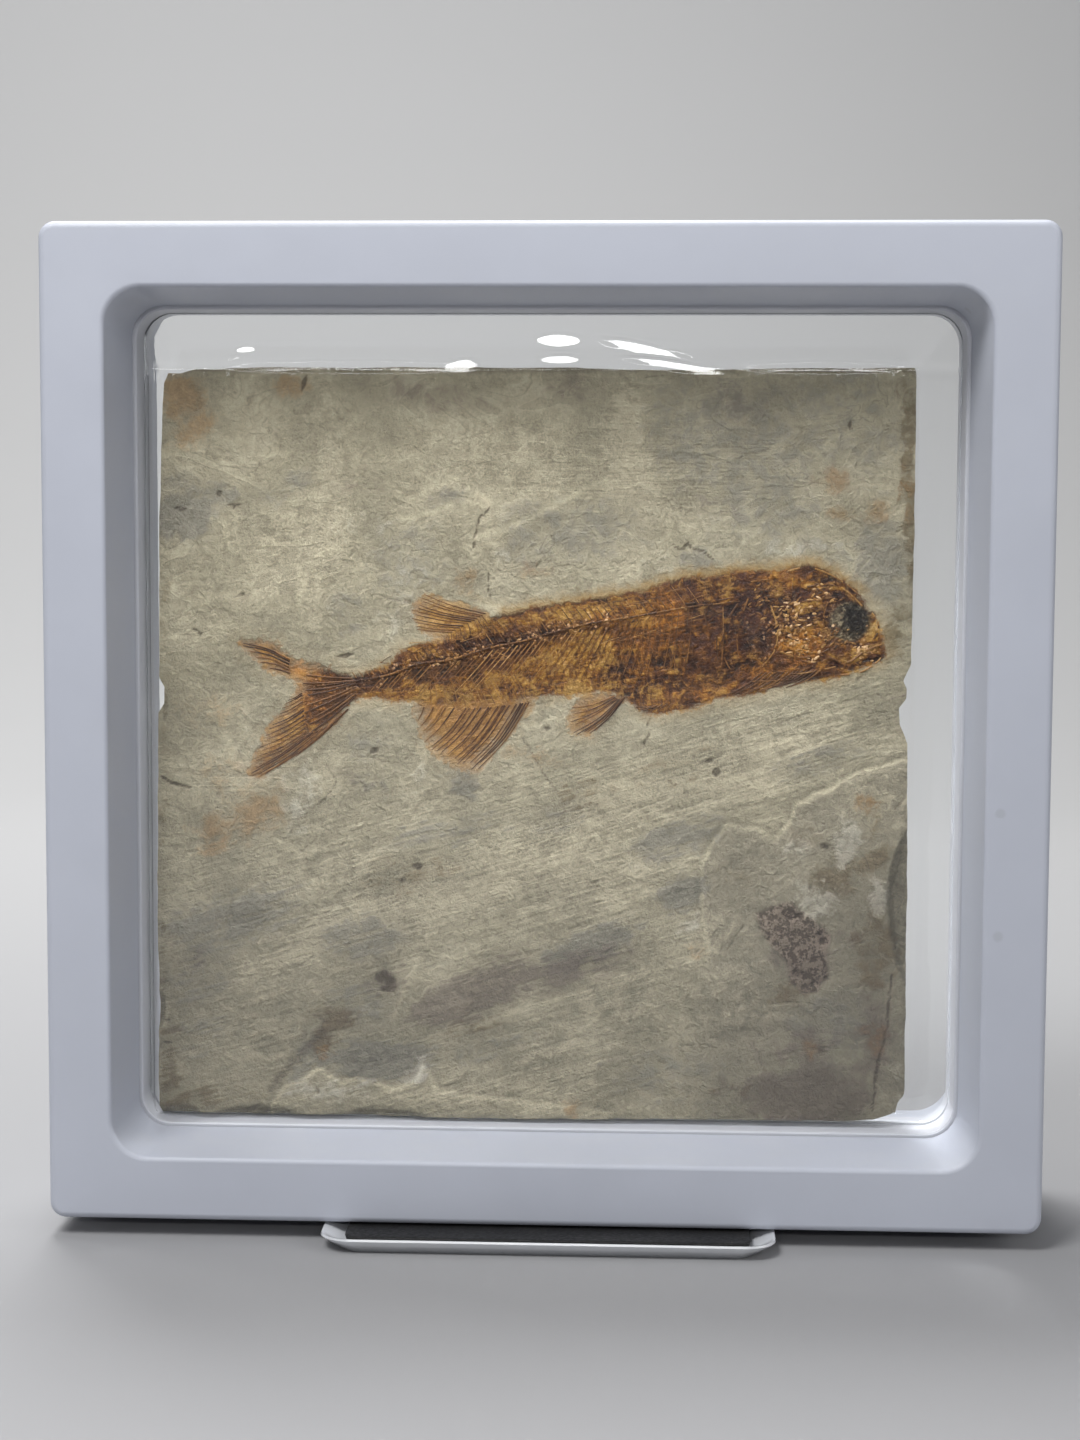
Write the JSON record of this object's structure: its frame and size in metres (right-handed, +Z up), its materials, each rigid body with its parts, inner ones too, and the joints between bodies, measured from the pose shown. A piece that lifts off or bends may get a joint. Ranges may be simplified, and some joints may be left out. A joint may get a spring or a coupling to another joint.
{
  "type": "fossil fish slab in display frame",
  "caption": "Sawn shale slab bearing a flattened fossil fish, floating between clear stretch films in a deep square plastic frame on a low tray foot.",
  "frame": {"origin": "on the table, under the middle of the standing frame", "axes": "+Z up, -Y the face that shows the fish, +X to the viewer's right, towards the fish's head"},
  "size_m": [0.2, 0.069, 0.2035],
  "materials": {
    "shale": "rough",
    "clear_film": "clear",
    "ring_plastic": "satin",
    "frame_plastic": "satin",
    "tray_plastic": "gloss",
    "mat_rubber": "matte"
  },
  "bodies": {
    "root": {"fossil_slab": "shale", "film_front": "clear_film", "film_back": "clear_film", "film_ring_front": "ring_plastic", "film_ring_back": "ring_plastic", "frame_front": "frame_plastic", "frame_back": "frame_plastic", "stand_tray": "tray_plastic", "stand_mat": "mat_rubber"}
  },
  "joints": []
}
